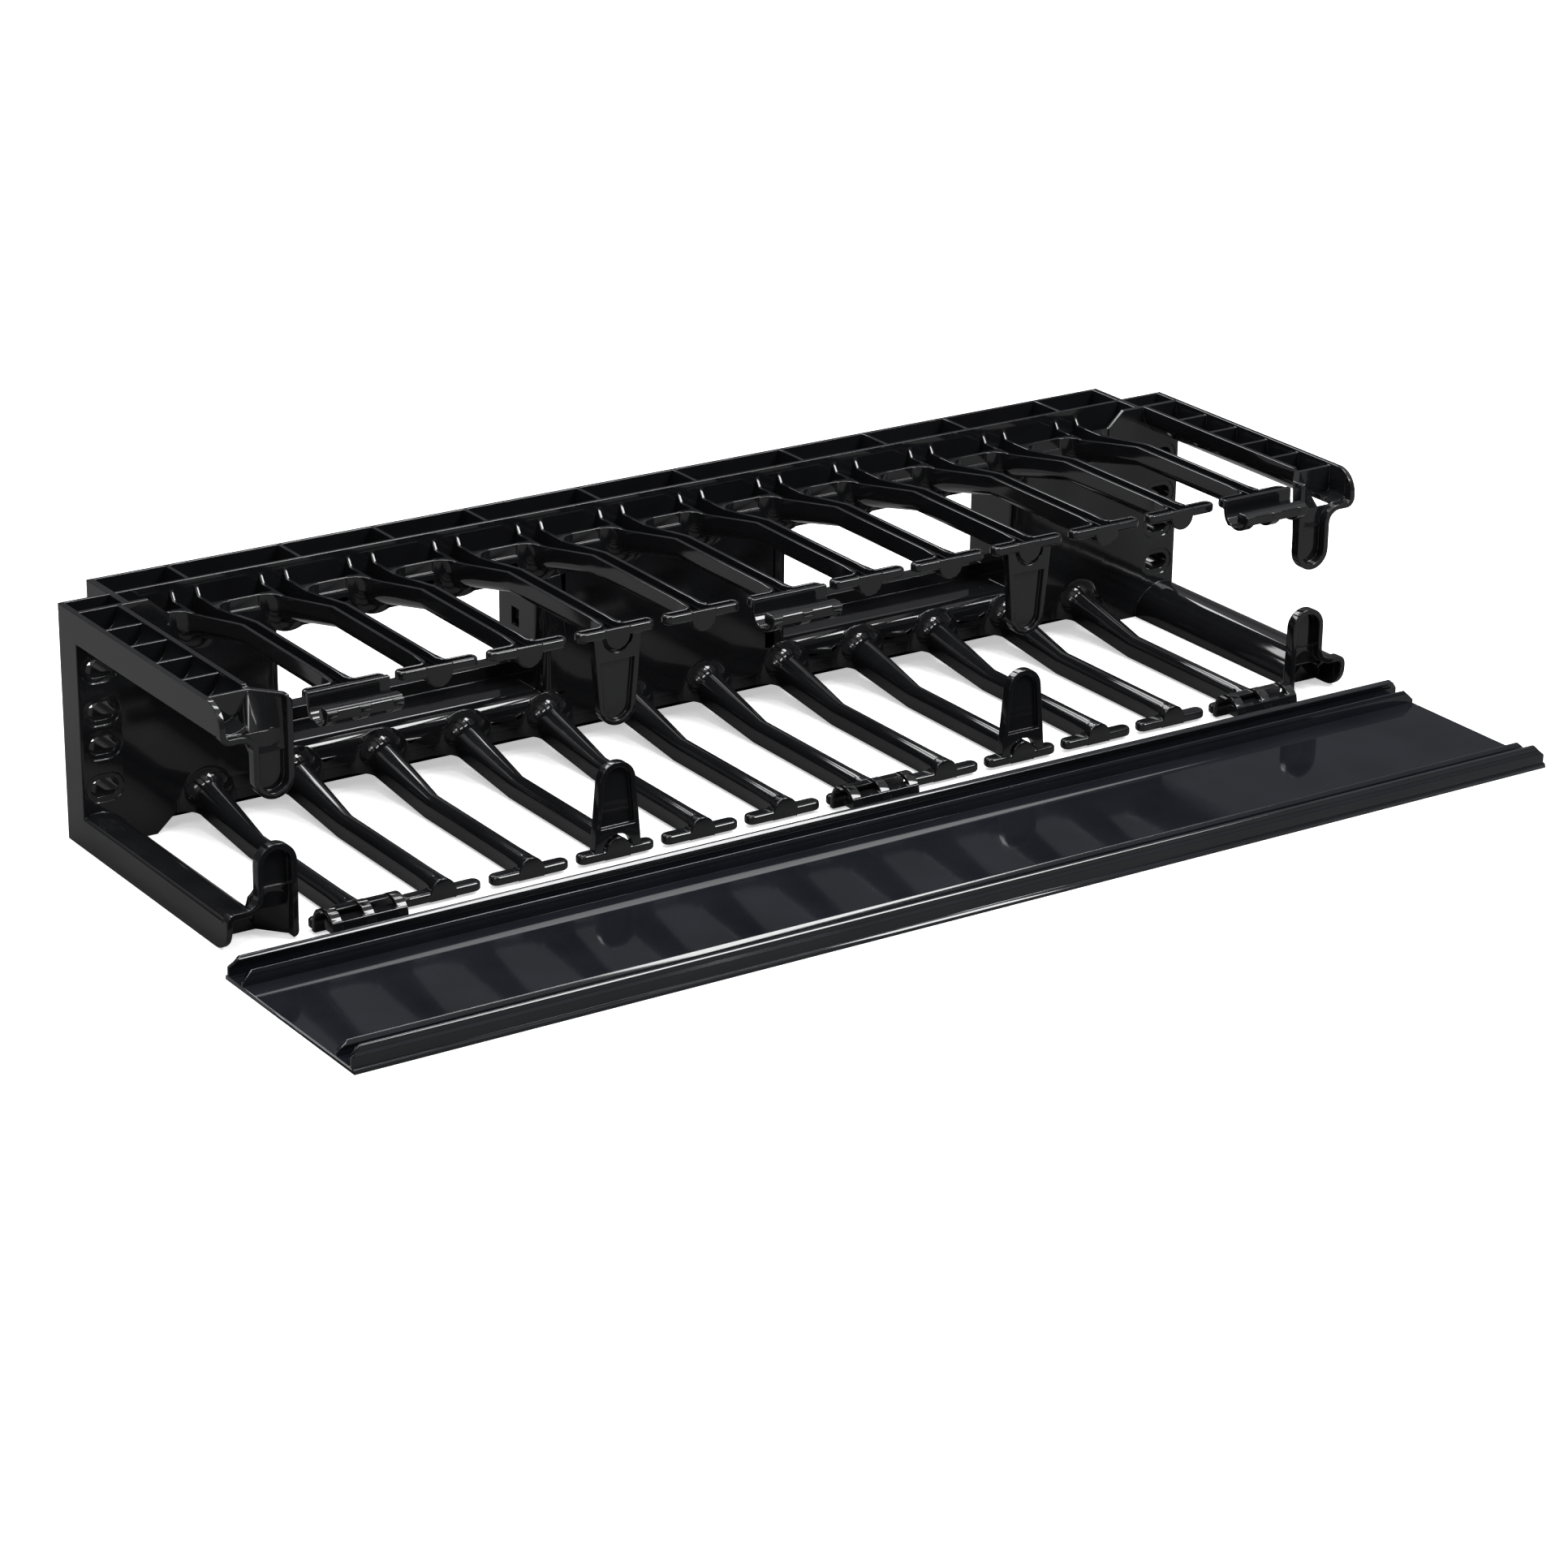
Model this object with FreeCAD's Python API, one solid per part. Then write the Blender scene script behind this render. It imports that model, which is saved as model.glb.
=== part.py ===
import FreeCAD
import Part
import math
import os

V = FreeCAD.Vector

# Frame: millimetres, +X to the right, -Y to the front, +Z up.
# y = 0 is the rear face of the ears, z = 0 is mid-height, x = 0 is the centre.

# Rack standard and overall size
EAR_X = 241.3
HALF_H = 44.05
SLOT_X = 232.55
SLOT_Z = (6.35, 22.225)
SLOT_LEN = 10.4
SLOT_DIA = 6.4
PAD_LEN = 14.6
PAD_DIA = 10.6
PAD_DEPTH = 0.4

# Panel box
FRONT_Y = -13.5
REAR_Y = 17.0
BODY_X = 222.25
WALL = 1.5
FRONT_WALL = 2.0
END_WALL = 2.75
EAR_WALL = 2.25
LIP_Z = 37.75
STEP_X_OUT = 213.0
STEP_X_IN = 206.0
WEB = 1.0
LEDGE_Z = 39.9
REAR_RIBS = (21.2, 69.6, 108.3, 146.5, 191.2)

# Rim band of the front wall, set back between the finger roots
BAND_Z = 33.5
BAND_SET = 0.6

# Windows
WIN_X0 = 55.0
WIN_X1 = 161.7
WIN_Z = 21.65
WIN_FRAME = 2.0
WIN_ROUND = 5.0
SILL_Z = 16.5
SILL_Y = 8.8
JAMB_HOLE_Y = 5.0
JAMB_HOLE_Z = 2.5
JAMB_HOLE_W = 5.0
JAMB_HOLE_H = 7.0

# Fingers
FINGERS = 12
PITCH = 457.2 / 13.0
ROOT_W = 5.65
ROOT_ZC = 33.45
ROOT_R = 5.85
BEND_Y = -51.5
ARM_W = 3.5
ARM_ZC = 38.5
RIM_Z = 43.2
FINGER_WALL = 1.5
LUG_W = 5.0
LUG_ZC = 40.0

# T heads
T_HALF = 15.5
T_BACK = -115.8
T_FRONT = -121.2
T_UNDER = 39.3
T_TOP = 42.8
T_EASE = 0.7
T_FLOOR = 40.6
T_ROUND = 2.5
T_BLEND = 2.4
T_RIM = 1.4

# Tongues on the fourth finger from each end
TONGUE_FINGERS = (4, 9)
TONGUE_TOP_HALF = 9.7
TONGUE_TIP_HALF = 7.4
TONGUE_TIP_Z = 6.9
TONGUE_FRONT = -120.8
TONGUE_THICK = 3.6
TONGUE_RIM = 2.0
TONGUE_DISH = 1.8

# Wings
WING_IN_X = 223.0
WING_WALL = 2.0
WING_END_Y = -121.8
WING_RIM_Y = -118.0
WING_RIBS = (-32.0, -51.0, -70.0, -89.0, -108.0)
WING_RIB_T = 1.5
WING_RIB_Z = 43.2
WING_NOSE_R = 9.0
WING_PROFILE = ((0.0, 11.2), (0.8, 12.0), (4.0, 12.9), (7.0, 13.0), (10.0, 12.2),
                (13.0, 10.5), (15.5, 8.4), (17.4, 6.0), (18.3, 3.5))
WTONGUE_X0 = 214.3
WTONGUE_X1 = 229.3
WTONGUE_TIP_Z = 8.0
WTONGUE_RIM = 2.2

# Spring clips
TOP_CLIPS = (1, 6, 12)
BOTTOM_CLIPS = (1, 7, 12)
CLIP_HALF = 15.5
CLIP_CY = -127.3
CLIP_CZ = 39.4
CLIP_R = 6.6
CLIP_T = 1.6
LEG_Z = 34.0
STRAP_W = 4.0
BAR_HALF = 14.5
BAR_BACK = -127.6
BAR_FRONT = -133.4
BAR_Z0 = 36.0
BAR_Z1 = 40.1
BAR_CHAMFER = 1.0

# Cover, lying on the same ground in front of the base
COVER_HALF_X = 250.8
COVER_CY = -182.4
COVER_Z = -HALF_H
COVER_HALF_W = 44.05
PLATE = 1.75
RAIL_CUT = 4.0


def box(x0, x1, y0, y1, z0, z1):
    return Part.makeBox(x1 - x0, y1 - y0, z1 - z0, V(x0, y0, z0))


def closed(points):
    return Part.Face(Part.makePolygon(points + [points[0]]))


def prism_yz(points, x0, x1):
    return closed([V(x0, y, z) for y, z in points]).extrude(V(x1 - x0, 0, 0))


def prism_xz(points, y0, y1):
    return closed([V(x, y0, z) for x, z in points]).extrude(V(0, y1 - y0, 0))


def prism_xy(points, z0, z1):
    return closed([V(x, y, z0) for x, y in points]).extrude(V(0, 0, z1 - z0))


def arc(cx, cy, r, a0, a1, steps):
    out = []
    for k in range(steps + 1):
        a = math.radians(a0 + (a1 - a0) * k / steps)
        out.append((cx + r * math.cos(a), cy + r * math.sin(a)))
    return out


def flip_x(shape):
    return shape.mirror(V(0, 0, 0), V(1, 0, 0))


def flip_z(shape):
    return shape.mirror(V(0, 0, 0), V(0, 0, 1))


def both_ways(shape):
    side = [shape, flip_x(shape)]
    return side + [flip_z(s) for s in side]


def finger_x(number):
    return (number - (FINGERS + 1) / 2.0) * PITCH


def obround(x, z, length, width, y0, y1):
    half = (length - width) / 2.0
    r = width / 2.0
    a = V(x - half, y0, z - r)
    b = V(x + half, y0, z - r)
    c = V(x + half, y0, z + r)
    d = V(x - half, y0, z + r)
    right = Part.Arc(b, V(x + half + r, y0, z), c).toShape()
    left = Part.Arc(d, V(x - half - r, y0, z), a).toShape()
    outline = Part.Wire([Part.makeLine(a, b), right, Part.makeLine(c, d), left])
    return Part.Face(outline).extrude(V(0, y1 - y0, 0))


def u_section(x, y, half, centre_z, rim_z):
    a = V(x - half, y, rim_z)
    b = V(x - half, y, centre_z)
    m = V(x, y, centre_z - half)
    c = V(x + half, y, centre_z)
    d = V(x + half, y, rim_z)
    edges = [Part.makeLine(a, b), Part.Arc(b, m, c).toShape(), Part.makeLine(c, d), Part.makeLine(d, a)]
    return Part.Wire(edges)


# Panel: front wall with its lip, rear wall, the long wall between them, the
# end walls, the ribs that divide the two open channels and a web at mid-height.

def front_outline(lip):
    right = [(EAR_X, HALF_H), (STEP_X_OUT, HALF_H), (STEP_X_IN, lip)]
    left = [(-x, z) for x, z in reversed(right)]
    top = right + left
    return top + [(x, -z) for x, z in reversed(top)]


def band_cut():
    cuts = []
    for n in range(FINGERS + 1):
        x0 = finger_x(n) + ROOT_W + ROOT_R + 0.4
        x1 = finger_x(n + 1) - ROOT_W - ROOT_R - 0.4
        if n == 0:
            x0 = -STEP_X_IN
        if n == FINGERS:
            x1 = STEP_X_IN
        strip = box(x0, x1, FRONT_Y - 1.0, FRONT_Y + BAND_SET, BAND_Z, LIP_Z + 1.0)
        cuts += [strip, flip_z(strip)]
    return cuts


def window_parts(side):
    x0, x1 = (WIN_X0, WIN_X1) if side > 0 else (-WIN_X1, -WIN_X0)
    f = WIN_FRAME
    r = WIN_ROUND
    frame = box(x0 - f, x1 + f, FRONT_Y, REAR_Y, -WIN_Z - f, WIN_Z + f)
    collar = box(x0 - r, x1 + r, FRONT_Y, FRONT_Y + r, -WIN_Z - r, WIN_Z + r)
    hole = box(x0, x1, FRONT_Y - 1.0, REAR_Y + 1.0, -WIN_Z, WIN_Z)
    sill = box(x0 - f, x1 + f, SILL_Y, REAR_Y, -WIN_Z - f, -SILL_Z)
    return frame.fuse(collar), hole, sill


def round_window_mouth(shape):
    mouth = []
    for e in shape.Edges:
        b = e.BoundBox
        if b.YMax > FRONT_Y + 0.01 or b.YMin < FRONT_Y - 0.01:
            continue
        across = abs(abs(b.ZMin) - WIN_Z) < 0.01 and b.ZLength < 0.01 and b.XLength > 90.0
        near = min(abs(abs(b.XMin) - WIN_X0), abs(abs(b.XMin) - WIN_X1)) < 0.01
        up = near and b.XLength < 0.01 and b.ZLength > 40.0
        if across or up:
            mouth.append(e)
    return shape.makeFillet(WIN_ROUND, mouth)


def panel():
    front = prism_xz(front_outline(LIP_Z), FRONT_Y, FRONT_Y + FRONT_WALL)
    adds = []
    adds.append(box(-BODY_X, BODY_X, -WALL, 0.0, -HALF_H, HALF_H))
    adds.append(box(-BODY_X, BODY_X, REAR_Y - WALL, REAR_Y, -HALF_H, HALF_H))
    adds.append(box(-BODY_X, BODY_X, FRONT_Y, REAR_Y, -WEB, WEB))
    adds.append(box(BODY_X - END_WALL, BODY_X, FRONT_Y, REAR_Y, -HALF_H, HALF_H))
    adds.append(box(-BODY_X, END_WALL - BODY_X, FRONT_Y, REAR_Y, -HALF_H, HALF_H))
    for x in REAR_RIBS:
        for s in (x, -x):
            adds.append(box(s - WALL / 2.0, s + WALL / 2.0, -WALL, REAR_Y, -HALF_H, HALF_H))
    gusset = [(FRONT_Y + 0.5, -LIP_Z), (FRONT_Y + 0.5, LIP_Z), (-3.6, LIP_Z)]
    gusset += [(-2.2, LEDGE_Z), (-0.5, HALF_H - 1.0), (-0.5, 1.0 - HALF_H), (-2.2, -LEDGE_Z), (-3.6, -LIP_Z)]
    for n in range(1, FINGERS + 1):
        x = finger_x(n)
        adds.append(prism_yz(gusset, x + ROOT_W - WALL, x + ROOT_W))
        adds.append(prism_yz(gusset, x - ROOT_W, x - ROOT_W + WALL))
    holes = []
    sills = []
    for side in (1, -1):
        frame, hole, sill = window_parts(side)
        adds.append(frame)
        holes.append(hole)
        sills.append(sill)
    body = front.fuse(adds).cut(holes).removeSplitter()
    body = round_window_mouth(body)
    body = body.fuse(sills)
    jamb = box(-WIN_X0 - 1.0, 1.0 + WIN_FRAME - WIN_X0, JAMB_HOLE_Y - JAMB_HOLE_W / 2.0,
               JAMB_HOLE_Y + JAMB_HOLE_W / 2.0, JAMB_HOLE_Z - JAMB_HOLE_H / 2.0,
               JAMB_HOLE_Z + JAMB_HOLE_H / 2.0)
    other = flip_z(flip_x(jamb))
    return body.cut([jamb, other] + band_cut())


# Ear: a box open at top and bottom with four tunnels for the screw slots.

def ear():
    x0 = BODY_X - END_WALL
    solid = box(x0, EAR_X, FRONT_Y, 0.0, -HALF_H, HALF_H)
    room_top = box(BODY_X, EAR_X - EAR_WALL, FRONT_Y + FRONT_WALL, -WALL, WEB, HALF_H + 1.0)
    solid = solid.cut([room_top, flip_z(room_top)])
    tunnels = []
    for z in SLOT_Z:
        for s in (z, -z):
            tunnels.append(obround(SLOT_X, s, SLOT_LEN + 3.0, SLOT_DIA + 3.0, FRONT_Y + 0.5, -0.5))
    return solid.fuse(tunnels)


def ear_slots():
    slots = []
    for z in SLOT_Z:
        for s in (z, -z):
            slots.append(obround(SLOT_X, s, SLOT_LEN, SLOT_DIA, FRONT_Y - 1.0, 1.0))
            slots.append(obround(SLOT_X, s, PAD_LEN, PAD_DIA, FRONT_Y - 1.0, FRONT_Y + PAD_DEPTH))
    return slots + [flip_x(s) for s in slots]


# Fingers: a U channel that flares into the panel, tapers to the bend and ends
# in a T head with a shallow tray.

def finger_sections(x):
    out = [u_section(x, FRONT_Y + 1.0, ROOT_W + ROOT_R, ROOT_ZC, LIP_Z)]
    steps = 7
    for k in range(steps + 1):
        a = math.radians(90.0 * k / steps)
        half = ROOT_W + ROOT_R * (1.0 - math.sin(a))
        y = FRONT_Y - ROOT_R * (1.0 - math.cos(a))
        out.append(u_section(x, y, half, ROOT_ZC, LIP_Z))
    out.append(u_section(x, BEND_Y, ARM_W, ARM_ZC, RIM_Z))
    out.append(u_section(x, -108.0, ARM_W, ARM_ZC, RIM_Z))
    out.append(u_section(x, T_BACK, ARM_W + 0.5, ARM_ZC + 0.5, T_TOP + 0.1))
    out.append(u_section(x, T_FRONT, LUG_W, LUG_ZC, T_TOP))
    return out


def tray_sections(x):
    t = FINGER_WALL
    root = ROOT_W - t
    arm = ARM_W - t
    top = HALF_H + 10.0
    out = [u_section(x, -WALL - 1.0, root, ROOT_ZC, top)]
    out.append(u_section(x, FRONT_Y - ROOT_R, root, ROOT_ZC, top))
    out.append(u_section(x, BEND_Y, arm, ARM_ZC, top))
    out.append(u_section(x, T_FRONT + t, arm, ARM_ZC, top))
    return out


def t_outline(x, inset):
    back = T_BACK - inset
    front = T_FRONT + inset
    half = T_HALF - inset
    r = min(T_ROUND, (back - front) / 2.0 - 0.05)
    b = T_BLEND + inset * 0.6
    neck = ARM_W - inset
    right = arc(neck + b, back + b, b, 180, 270, 4)
    right += arc(half - r, back - r, r, 90, 0, 5)
    right += arc(half - r, front + r, r, 0, -90, 5)
    right = [(neck, -104.0)] + right
    left = [(-px, py) for px, py in reversed(right)]
    return [(x + px, py) for px, py in right + left]


def t_head(x):
    layers = ((T_UNDER, T_EASE), (T_UNDER + T_EASE, 0.0), (T_TOP - 0.6, 0.0), (T_TOP, 0.5))
    rings = []
    for z, inset in layers:
        points = [V(px, py, z) for px, py in t_outline(x, inset)]
        rings.append(Part.makePolygon(points + [points[0]]))
    return Part.makeLoft(rings, True, True)


def finger(number):
    x = finger_x(number)
    outer = Part.makeLoft(finger_sections(x), True, True)
    head = t_head(x)
    tray = Part.makeLoft(tray_sections(x), True, True)
    head_tray = prism_xy(t_outline(x, T_RIM), T_FLOOR, HALF_H + 5.0)
    return outer, head, tray, head_tray


# Tongue: a tapering plate that hangs from a T head towards mid-height.

def tongue_outline(x, inset):
    tip = TONGUE_TIP_HALF - inset
    base = TONGUE_TOP_HALF - inset
    top = 40.4
    right = [(base, top)]
    right += arc(0.0, TONGUE_TIP_Z + TONGUE_TIP_HALF, tip, 0, -90, 9)
    left = [(-px, pz) for px, pz in reversed(right[:-1])]
    return [(x + px, pz) for px, pz in right + left]


def tongue(number):
    x = finger_x(number)
    back = TONGUE_FRONT + TONGUE_THICK
    plate = prism_xz(tongue_outline(x, 0.0), TONGUE_FRONT, back)
    dish = prism_xz(tongue_outline(x, TONGUE_RIM), TONGUE_FRONT - 1.0, TONGUE_FRONT + TONGUE_DISH)
    low = box(x - 20.0, x + 20.0, TONGUE_FRONT - 2.0, back, 0.0, 31.0)
    dish = dish.common(low)
    arch = arc(x, LUG_ZC, LUG_W + 1.2, 180, 360, 12)
    notch = prism_xz(arch, TONGUE_FRONT - 1.0, back + 1.0)
    return plate.cut([dish, notch])


# Wing: a ladder-ribbed channel from the ear to the front, whose rim swings
# round into a hanging tongue with a trough.

def wing_section(inset, top):
    points = [(EAR_X - inset, top)]
    middle = (EAR_X + WING_IN_X) / 2.0
    for across, height in WING_PROFILE:
        x = EAR_X - across
        reach = (x - middle) / (EAR_X - middle)
        points.append((x - inset * reach, HALF_H - height + inset * (1.0 - abs(reach) * 0.4)))
    points.append((WING_IN_X + inset, top))
    return points


def wing_front_outline(inset):
    i = inset
    cx = (WTONGUE_X0 + WTONGUE_X1) / 2.0
    half = (WTONGUE_X1 - WTONGUE_X0) / 2.0
    top = HALF_H + 20.0 if inset else HALF_H
    pts = [(EAR_X - i, top)]
    pts += arc(EAR_X - 3.6, 33.6, 3.6 - i, 0, -90, 5)
    pts += [(WTONGUE_X1 + 4.6, 30.0 + i)]
    pts += arc(WTONGUE_X1 + 4.6, 25.4, 4.6 + i, 90, 180, 6)
    pts += arc(cx, WTONGUE_TIP_Z + half, half - i, 0, -180, 16)
    if inset:
        return pts + [(WTONGUE_X0 + i, top)]
    return pts + arc(WTONGUE_X0 + 2.0, RIM_Z - 2.0, 2.0, 180, 90, 3) + [(WING_IN_X, RIM_Z), (WING_IN_X, HALF_H)]


# The back of the wing's tray: a warped wall that leaves the inner wall at a
# slant and comes forward as it goes down into the tongue.

def wing_slide():
    x0 = WTONGUE_X0
    t = WTONGUE_RIM
    high = [(225.0, -100.0), (225.0, -106.0), (224.4, -108.4), (223.0, -110.2), (x0 + t, -117.8)]
    high += [(x0 + t, -120.0), (x0, -120.0), (x0, -116.6), (221.4, -108.6), (222.6, -107.0), (223.0, -105.0)]
    high += [(223.0, -100.0)]
    low = [(231.0, -117.9), (231.0, -118.6), (229.0, -119.0), (227.0, -119.2), (x0 + t, -119.4)]
    low += [(x0 + t, -120.0), (x0, -120.0), (x0, -117.4), (221.4, -117.4), (222.6, -117.4), (225.0, -117.4)]
    low += [(229.0, -117.4)]
    rings = []
    for points, z in ((high, RIM_Z), (low, 24.0)):
        corners = [V(x, y, z) for x, y in points]
        rings.append(Part.makePolygon(corners + [corners[0]]))
    return Part.makeLoft(rings, True, True)


def wing():
    start = FRONT_Y + 0.5
    channel = prism_xz(wing_section(0.0, HALF_H), start, WING_RIM_Y - 0.5)
    room = prism_xz(wing_section(WING_WALL, HALF_H + 5.0), FRONT_Y, -125.0)
    turn = box(WING_IN_X - 1.0, WING_IN_X + 7.0, -125.0, -106.0, 33.0, 60.0)
    channel = channel.cut([room, turn])
    ribs = []
    for y in WING_RIBS:
        rib = box(WING_IN_X + 1.0, EAR_X - 1.0, y - WING_RIB_T / 2.0, y + WING_RIB_T / 2.0, 31.0, WING_RIB_Z)
        ribs.append(rib.common(prism_xz(wing_section(1.0, HALF_H), start, -120.0)))
    rim = prism_xz(wing_front_outline(0.0), WING_RIM_Y, WING_END_Y)
    rim = rim.cut(prism_xz(wing_front_outline(WTONGUE_RIM), -100.0, -125.0))
    back = prism_xz(wing_front_outline(0.4), -117.4, WING_RIM_Y - 0.5)
    back = back.common(box(200.0, 232.0, -125.0, -100.0, 0.0, 31.6))
    slide = wing_slide().common(prism_xz(wing_front_outline(0.3), -98.0, -121.0))
    whole = channel.fuse(ribs + [rim, back, slide])
    low = HALF_H - WING_NOSE_R - 2.0
    nose = [(-130.0, 50.0), (-130.0, low), (WING_END_Y, low)]
    nose += arc(WING_END_Y + WING_NOSE_R, HALF_H - WING_NOSE_R, WING_NOSE_R, 180, 90, 8)
    nose += [(-105.0, HALF_H), (-105.0, 50.0)]
    cut = prism_yz(nose, WING_IN_X + 7.0, EAR_X + 5.0)
    return whole.cut(cut)


# Spring clip: three spring straps that bend under and carry a chamfered bar.

def clip(number):
    x = finger_x(number)
    outer = arc(CLIP_CY, CLIP_CZ, CLIP_R, 0, -180, 24)
    inner = arc(CLIP_CY, CLIP_CZ, CLIP_R - CLIP_T, -180, 0, 24)
    rear = CLIP_CY + CLIP_R
    half_ring = outer + inner
    straps = []
    for x0 in (-CLIP_HALF + 1.0, -STRAP_W / 2.0, CLIP_HALF - 1.0 - STRAP_W):
        straps.append(prism_yz(half_ring, x + x0, x + x0 + STRAP_W))
    leg = box(x - CLIP_HALF, x + CLIP_HALF, rear - CLIP_T, rear + 0.6, CLIP_CZ, RIM_Z)
    skirt = prism_yz(half_ring, x - CLIP_HALF, x + CLIP_HALF)
    skirt = skirt.common(box(x - 20.0, x + 20.0, CLIP_CY, rear + 1.0, LEG_Z, CLIP_CZ))
    c = BAR_CHAMFER
    bar = [(BAR_BACK, BAR_Z0 + 0.4), (BAR_BACK, BAR_Z1 - c), (BAR_BACK - c, BAR_Z1)]
    bar += [(BAR_FRONT + c, BAR_Z1), (BAR_FRONT, BAR_Z1 - c), (BAR_FRONT, BAR_Z0)]
    bar += [(BAR_BACK - 0.4, BAR_Z0)]
    bar = prism_yz(bar, x - BAR_HALF, x + BAR_HALF)
    return leg.fuse(straps + [skirt, bar])


def base():
    solids = [panel(), ear(), flip_x(ear())]
    trays = []
    for n in range(1, FINGERS + 1):
        outer, head, tray, head_tray = finger(n)
        top = [outer, head]
        if n in TONGUE_FINGERS:
            top.append(tongue(n))
        solids += top
        solids += [flip_z(s) for s in top]
        trays += [tray, head_tray, flip_z(tray), flip_z(head_tray)]
    core = solids[0].fuse(solids[1:])
    core = core.cut(trays)
    extras = both_ways(wing())
    extras += [clip(n) for n in TOP_CLIPS]
    extras += [flip_z(clip(n)) for n in BOTTOM_CLIPS]
    return core.fuse(extras).cut(ear_slots())


# Cover: plate, thin flanges, and two pairs of rails with hooked tips.

def cover_half_profile():
    z = COVER_Z
    top = z + PLATE
    right = [(COVER_HALF_W, z), (COVER_HALF_W, z + 1.1), (COVER_HALF_W - 0.6, top)]
    right += [(42.9, top), (42.7, top + 0.4), (42.7, z + 5.4), (41.8, z + 6.7), (41.8, z + 8.2)]
    right += [(41.3, z + 8.75), (40.5, z + 8.75), (39.6, z + 7.8), (39.6, z + 7.3), (40.3, z + 6.8)]
    right += [(40.3, z + 6.1), (41.2, z + 5.0), (41.2, top)]
    right += [(32.65, top), (32.65, z + 4.4), (33.5, z + 5.2), (33.5, z + 5.6), (32.5, z + 7.05)]
    right += [(31.9, z + 7.05), (31.15, z + 4.6), (31.15, top)]
    return right


def cover():
    right = cover_half_profile()
    left = [(-u, z) for u, z in reversed(right)]
    pts = [(COVER_CY + u, z) for u, z in right + left]
    solid = prism_yz(pts, -COVER_HALF_X, COVER_HALF_X)
    cuts = []
    for low, high, u0, u1 in ((4.8, 8.8, 37.0, 43.0), (3.1, 7.1, 29.0, 35.0)):
        for s in (1, -1):
            corner = [(s * (COVER_HALF_X + 1.0), COVER_Z + low - 1.0)]
            corner += [(s * (COVER_HALF_X + 1.0), COVER_Z + high + 1.0)]
            corner += [(s * (COVER_HALF_X - RAIL_CUT - 1.0), COVER_Z + high + 1.0)]
            for c in (1, -1):
                y0 = COVER_CY + c * u0
                y1 = COVER_CY + c * u1
                cuts.append(prism_xz(corner, min(y0, y1), max(y0, y1)))
    return solid.cut(cuts)


os.makedirs("parts", exist_ok=True)
base().removeSplitter().exportStep("parts/base.step")
cover().removeSplitter().exportStep("parts/cover.step")
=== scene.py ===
import math

import bmesh
import bpy
from mathutils import Matrix, Vector
from mathutils.bvhtree import BVHTree


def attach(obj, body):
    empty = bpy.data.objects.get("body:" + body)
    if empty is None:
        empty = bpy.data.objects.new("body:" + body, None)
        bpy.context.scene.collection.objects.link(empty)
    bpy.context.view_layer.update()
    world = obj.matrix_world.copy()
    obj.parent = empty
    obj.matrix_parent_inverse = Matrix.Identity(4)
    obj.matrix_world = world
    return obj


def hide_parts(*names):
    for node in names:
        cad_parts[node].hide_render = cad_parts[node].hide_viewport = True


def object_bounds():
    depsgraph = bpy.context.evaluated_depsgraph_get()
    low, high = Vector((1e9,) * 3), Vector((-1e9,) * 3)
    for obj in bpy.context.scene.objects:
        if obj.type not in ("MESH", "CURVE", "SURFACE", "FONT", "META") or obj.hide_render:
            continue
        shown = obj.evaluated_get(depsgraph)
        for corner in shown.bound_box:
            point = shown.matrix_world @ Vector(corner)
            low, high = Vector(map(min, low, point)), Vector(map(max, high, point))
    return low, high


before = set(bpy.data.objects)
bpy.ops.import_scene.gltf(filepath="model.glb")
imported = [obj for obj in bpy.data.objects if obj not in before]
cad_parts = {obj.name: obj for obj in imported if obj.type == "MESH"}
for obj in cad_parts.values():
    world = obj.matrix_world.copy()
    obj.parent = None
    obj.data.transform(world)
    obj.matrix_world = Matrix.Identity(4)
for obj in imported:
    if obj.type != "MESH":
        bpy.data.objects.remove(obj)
cad_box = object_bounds()
MM = 0.001

# The base: one glossy black moulding with its ears, panel, fingers, wings and
# clips. Its visible copy is the moulded shape with every edge eased, because
# a mould leaves no knife edge and each rim carries a thin line of light.

BASE_EASE = 0.3 * MM
BASE_COLOUR = (0.007, 0.0073, 0.0082)
BASE_ROUGH = 0.08
BASE_RIPPLE = 0.12 * MM

WELD = 0.02 * MM
SHARP = math.radians(28.0)
FLAT = math.radians(0.04)
LENGTHWISE = 0.9

MOTTLE_SCALE = 38.0
MOTTLE_DETAIL = 3.0
TINT_LOW, TINT_HIGH = 0.8, 1.2
GLOSS_LOW, GLOSS_HIGH = 0.75, 1.35
FLOW_SCALE = 22.0
FLOW_DETAIL = 1.0
FLOW_STRENGTH = 0.25
PLASTIC_IOR = 1.5


def noise(nodes, links, place, scale, detail):
    node = nodes.new("ShaderNodeTexNoise")
    node.inputs["Scale"].default_value = scale
    node.inputs["Detail"].default_value = detail
    links.new(place.outputs["Object"], node.inputs["Vector"])
    return node


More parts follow.
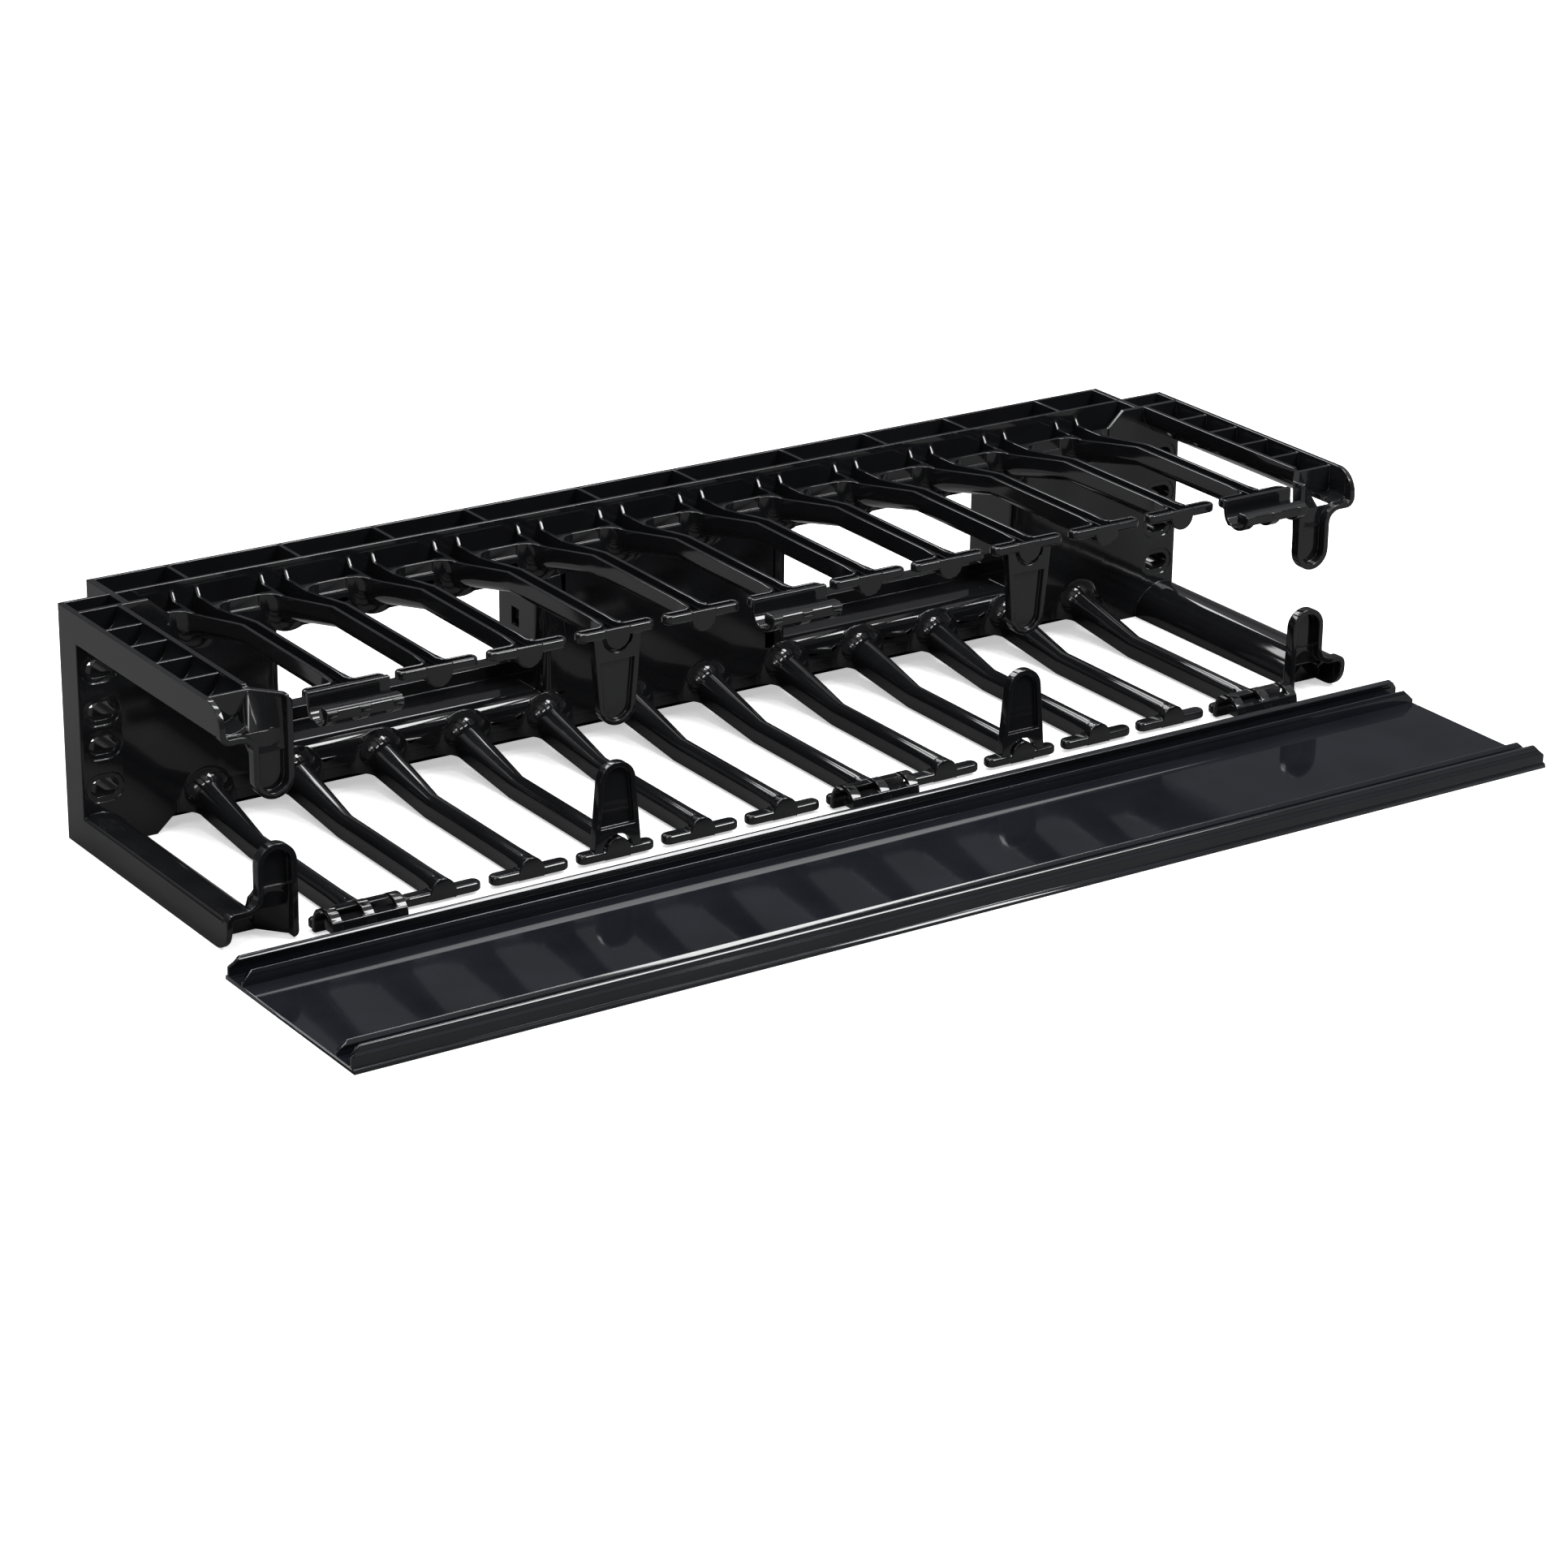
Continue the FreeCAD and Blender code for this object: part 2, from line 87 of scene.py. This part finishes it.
def moulded_black(name, colour, rough, ripple):
    mat = bpy.data.materials.new(name)
    mat.use_nodes = True
    nodes = mat.node_tree.nodes
    links = mat.node_tree.links
    shader = nodes["Principled BSDF"]
    shader.inputs["IOR"].default_value = PLASTIC_IOR
    place = nodes.new("ShaderNodeTexCoord")

    mottle = noise(nodes, links, place, MOTTLE_SCALE, MOTTLE_DETAIL)
    tint = nodes.new("ShaderNodeValToRGB")
    tint.color_ramp.elements[0].position = 0.3
    tint.color_ramp.elements[0].color = [c * TINT_LOW for c in colour] + [1.0]
    tint.color_ramp.elements[1].position = 0.75
    tint.color_ramp.elements[1].color = [c * TINT_HIGH for c in colour] + [1.0]
    links.new(mottle.outputs["Fac"], tint.inputs["Fac"])
    links.new(tint.outputs["Color"], shader.inputs["Base Color"])

    gloss = nodes.new("ShaderNodeMapRange")
    gloss.inputs["To Min"].default_value = rough * GLOSS_LOW
    gloss.inputs["To Max"].default_value = rough * GLOSS_HIGH
    links.new(mottle.outputs["Fac"], gloss.inputs["Value"])
    links.new(gloss.outputs["Result"], shader.inputs["Roughness"])

    flow = noise(nodes, links, place, FLOW_SCALE, FLOW_DETAIL)
    bump = nodes.new("ShaderNodeBump")
    bump.inputs["Strength"].default_value = FLOW_STRENGTH
    bump.inputs["Distance"].default_value = ripple
    links.new(flow.outputs["Fac"], bump.inputs["Height"])
    links.new(bump.outputs["Normal"], shader.inputs["Normal"])
    return mat


def runs_lengthwise(edge):
    return abs(edge.verts[0].co.x - edge.verts[1].co.x) > LENGTHWISE * edge.calc_length()


def ease_edges(shell, width, extruded):
    skin = BVHTree.FromBMesh(shell)
    bmesh.ops.remove_doubles(shell, verts=shell.verts, dist=WELD)
    if extruded:
        bmesh.ops.dissolve_limit(shell, angle_limit=FLAT, verts=shell.verts, edges=shell.edges)
    sharp = [e for e in shell.edges if e.is_manifold and e.calc_face_angle() > SHARP]
    if extruded:
        sharp = [e for e in sharp if runs_lengthwise(e)]
    bmesh.ops.bevel(shell, geom=sharp, offset=width, offset_type="OFFSET", affect="EDGES",
                    segments=2, profile=0.5, clamp_overlap=False, material=-1)
    # Where short edges make the bevel overshoot, its corners go back to the skin.
    for vert in shell.verts:
        place, _, _, gap = skin.find_nearest(vert.co)
        if gap > width:
            vert.co = place
    shell.normal_update()


def settled_normals(shell):
    # Each corner leans to its largest faces, so flat faces stay flat to the light.
    settled = []
    for vert in shell.verts:
        lean = Vector()
        for face in vert.link_faces:
            lean += face.normal * face.calc_area()
        settled.append(lean.normalized() if lean.length > 0.0 else vert.normal.copy())
    return settled


def eased_copy(node, name, material, width, extruded):
    mesh = bpy.data.objects[node].data.copy()
    mesh.name = name
    shell = bmesh.new()
    shell.from_mesh(mesh)
    ease_edges(shell, width, extruded)
    settled = settled_normals(shell)
    for face in shell.faces:
        face.smooth = True
    shell.to_mesh(mesh)
    shell.free()
    mesh.normals_split_custom_set_from_vertices(settled)
    mesh.materials.clear()
    mesh.materials.append(material)
    piece = bpy.data.objects.new(name, mesh)
    bpy.context.collection.objects.link(piece)
    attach(piece, "root")
    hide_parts(node)


base_black = moulded_black("base_black", BASE_COLOUR, BASE_ROUGH, BASE_RIPPLE)
eased_copy("base", "base_moulding", base_black, BASE_EASE, extruded=False)

# The cover: one extruded length of the same black plastic, cut square, with
# the corners of its rails clipped off. The die rounds its long edges and the
# saw leaves its ends sharp.

COVER_EASE = 0.18 * MM
COVER_COLOUR = (0.007, 0.008, 0.0105)
COVER_ROUGH = 0.05
COVER_RIPPLE = 0.03 * MM

cover_black = moulded_black("cover_black", COVER_COLOUR, COVER_ROUGH, COVER_RIPPLE)
eased_copy("cover", "cover_extrusion", cover_black, COVER_EASE, extruded=True)

# The ground: a plain pale sheet under the parts. It is pale to the camera and
# darker to the light that bounces off it, so the plastic stays black.

GROUND_HALF = 30.0
GROUND_BOUNCED = (0.18, 0.18, 0.18, 1.0)
GROUND_SEEN = (0.86, 0.86, 0.86, 1.0)
GROUND_LIFT = 0.5
WHITE = (1.0, 1.0, 1.0, 1.0)

sheet = bpy.data.meshes.new("ground")
ground_mesh = bmesh.new()
bmesh.ops.create_grid(ground_mesh, x_segments=1, y_segments=1, size=GROUND_HALF)
bmesh.ops.translate(ground_mesh, verts=ground_mesh.verts, vec=(0.0, 0.0, cad_box[0][2]))
ground_mesh.to_mesh(sheet)
ground_mesh.free()
ground = bpy.data.objects.new("ground", sheet)
bpy.context.collection.objects.link(ground)
pale = bpy.data.materials.new("pale_ground")
pale.use_nodes = True
nodes = pale.node_tree.nodes
links = pale.node_tree.links
matt = nodes["Principled BSDF"]
matt.inputs["Roughness"].default_value = 0.9
matt.inputs["Specular IOR Level"].default_value = 0.1
matt.inputs["Emission Color"].default_value = WHITE
seen = nodes.new("ShaderNodeLightPath")
tone = nodes.new("ShaderNodeValToRGB")
tone.color_ramp.elements[0].color = GROUND_BOUNCED
tone.color_ramp.elements[1].color = GROUND_SEEN
links.new(seen.outputs["Is Camera Ray"], tone.inputs["Fac"])
links.new(tone.outputs["Color"], matt.inputs["Base Color"])
lift = nodes.new("ShaderNodeMath")
lift.operation = "MULTIPLY"
lift.inputs[1].default_value = GROUND_LIFT
links.new(seen.outputs["Is Camera Ray"], lift.inputs[0])
links.new(lift.outputs["Value"], matt.inputs["Emission Strength"])
sheet.materials.append(pale)

# The studio: white where the camera looks past the parts, and for light and
# reflections a surround that brightens overhead, with four soft lamps.

DOME_LOW = 0.4
DOME_LOW_COLOUR = (0.12, 0.12, 0.125, 1.0)
DOME_HIGH = 0.75
DOME_HIGH_COLOUR = (0.7, 0.7, 0.7, 1.0)

world = bpy.data.worlds.new("studio")
bpy.context.scene.world = world
world.use_nodes = True
nodes = world.node_tree.nodes
links = world.node_tree.links
sky = nodes["Background"]
place = nodes.new("ShaderNodeTexCoord")
split = nodes.new("ShaderNodeSeparateXYZ")
links.new(place.outputs["Generated"], split.inputs["Vector"])
dome = nodes.new("ShaderNodeValToRGB")
dome.color_ramp.elements[0].position = DOME_LOW
dome.color_ramp.elements[0].color = DOME_LOW_COLOUR
dome.color_ramp.elements[1].position = DOME_HIGH
dome.color_ramp.elements[1].color = DOME_HIGH_COLOUR
links.new(split.outputs["Z"], dome.inputs["Fac"])
ray = nodes.new("ShaderNodeLightPath")
shown = nodes.new("ShaderNodeMix")
shown.data_type = "RGBA"
links.new(ray.outputs["Is Camera Ray"], shown.inputs["Factor"])
links.new(dome.outputs["Color"], shown.inputs[6])
shown.inputs[7].default_value = WHITE
links.new(shown.outputs[2], sky.inputs["Color"])
sky.inputs["Strength"].default_value = 1.0


def soft_lamp(name, place, target, size, power):
    lamp = bpy.data.lights.new(name, "AREA")
    lamp.shape = "RECTANGLE"
    lamp.size, lamp.size_y = size
    lamp.energy = power
    holder = bpy.data.objects.new(name, lamp)
    bpy.context.collection.objects.link(holder)
    holder.location = place
    aim = Vector(target) - Vector(place)
    holder.rotation_euler = aim.to_track_quat("-Z", "Y").to_euler()


soft_lamp("top_lamp", place=(0.0, 0.1, 1.6), target=(0.0, -0.08, 0.0), size=(1.4, 0.5), power=26.0)
soft_lamp("left_lamp", place=(-1.2, -0.9, 1.3), target=(0.0, -0.05, 0.0), size=(0.4, 0.8), power=7.0)
soft_lamp("right_lamp", place=(0.82, -1.08, 1.25), target=(-0.05, -0.15, 0.0), size=(0.55, 0.7),
          power=23.0)
soft_lamp("back_lamp", place=(0.0, 1.15, 1.1), target=(0.0, 0.0, 0.0), size=(1.6, 0.25), power=9.0)

# The camera: the photograph's view, worked out from the rack sizes.

YAW = math.radians(34.22)
PITCH = math.radians(21.83)
ROLL = math.radians(-0.85)
EYE = Vector((-885.95, -1413.06, 588.12)) * MM
FOCAL_PX = 5777.0
FRAME_PX = 1932.0
CENTRE_PX = (997.83, 984.83)
SENSOR_MM = 36.0

level = math.cos(PITCH)
ahead = Vector((math.sin(YAW) * level, math.cos(YAW) * level, -math.sin(PITCH)))
right = Vector((math.cos(YAW), -math.sin(YAW), 0.0))
down = ahead.cross(right)
tilt_right = math.cos(ROLL) * right + math.sin(ROLL) * down
tilt_down = -math.sin(ROLL) * right + math.cos(ROLL) * down
lens = bpy.data.cameras.new("camera")
lens.sensor_fit = "HORIZONTAL"
lens.sensor_width = SENSOR_MM
lens.lens = SENSOR_MM * FOCAL_PX / FRAME_PX
lens.shift_x = -(CENTRE_PX[0] - FRAME_PX / 2.0) / FRAME_PX
lens.shift_y = (CENTRE_PX[1] - FRAME_PX / 2.0) / FRAME_PX
lens.clip_end = 100.0
camera = bpy.data.objects.new("camera", lens)
bpy.context.collection.objects.link(camera)
turn = Matrix((tilt_right, -tilt_down, -ahead)).transposed().to_4x4()
camera.matrix_world = Matrix.Translation(EYE) @ turn
bpy.context.scene.camera = camera
bpy.context.scene.view_settings.view_transform = "Standard"
